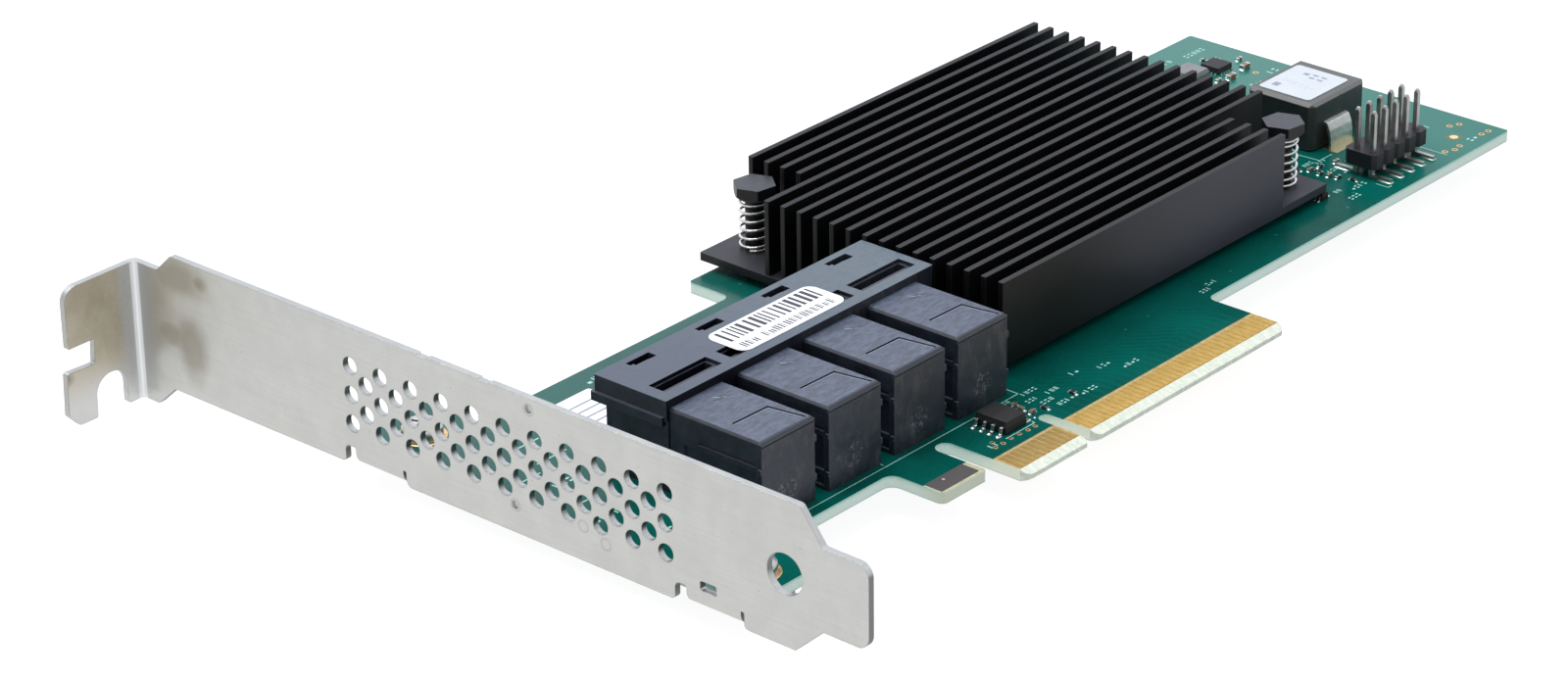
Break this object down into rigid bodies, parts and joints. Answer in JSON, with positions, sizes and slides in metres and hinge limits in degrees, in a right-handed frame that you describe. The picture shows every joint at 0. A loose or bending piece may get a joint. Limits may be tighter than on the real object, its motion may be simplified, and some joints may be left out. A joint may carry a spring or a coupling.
{
  "type": "host bus adapter card",
  "caption": "Low plug-in computer card with ported connector bar, finned black heatsink on sprung posts, gold edge fingers and a full-height vented bracket.",
  "frame": {"origin": "on the bracket's outer face, level with the ends of the gold fingers, in the plane of the board's component side", "axes": "+X along the board away from the bracket, +Y from the gold fingers towards the screw ear, +Z out of the component side"},
  "size_m": [0.1804, 0.1194, 0.0213],
  "materials": {
    "laminate": "satin solder mask over glass-epoxy laminate",
    "bright_steel": "bright plated sheet, satin",
    "screw_steel": "bright plated",
    "moulding": "dark blue-grey moulded plastic, matt",
    "gold": "gold plated",
    "tin": "tinned, soft shine",
    "label": "white sticker, satin",
    "black_anodised": "black anodised, matt",
    "black_plastic": "black moulded plastic",
    "spring_steel": "bright spring wire",
    "package": "black epoxy, matt",
    "substrate": "green laminate",
    "silicon": "polished silicon",
    "thermal": "soft grey pad",
    "ferrite": "pressed powder, satin",
    "chip_ceramic": "fired, satin",
    "chip_resist": "glazed, satin",
    "bare_pad": "dull grey-brown plated pad"
  },
  "bodies": {
    "root": {"circuit_board": "laminate", "mounting_bracket": "bright_steel", "bracket_screws": "screw_steel", "connector_shroud": "moulding", "terminal_block_1": "moulding", "terminal_block_2": "moulding", "terminal_block_3": "moulding", "terminal_block_4": "moulding", "port_contacts": "gold", "connector_tails": "tin", "shroud_label": "label", "board_label": "label", "heatsink": "black_anodised", "controller_package": "substrate", "controller_die": "silicon", "thermal_pad": "thermal", "heatsink_post_1": "black_plastic", "heatsink_post_2": "black_plastic", "post_spring_1": "spring_steel", "post_spring_2": "spring_steel", "post_retainers": "black_plastic", "inductor_core": "ferrite", "inductor_terminals": "tin", "inductor_label": "label", "header_base": "black_plastic", "header_pins": "tin", "memory_chip_body": "package", "memory_chip_leads": "tin", "regulator_body": "package", "regulator_leads": "tin", "chip_inductor": "ferrite", "supervisor_body": "package", "supervisor_leads": "tin", "chip_capacitors": "chip_ceramic", "chip_resistors": "chip_resist", "chip_terminations": "tin", "edge_contacts": "gold", "tab_contact": "bare_pad"}
  },
  "joints": []
}
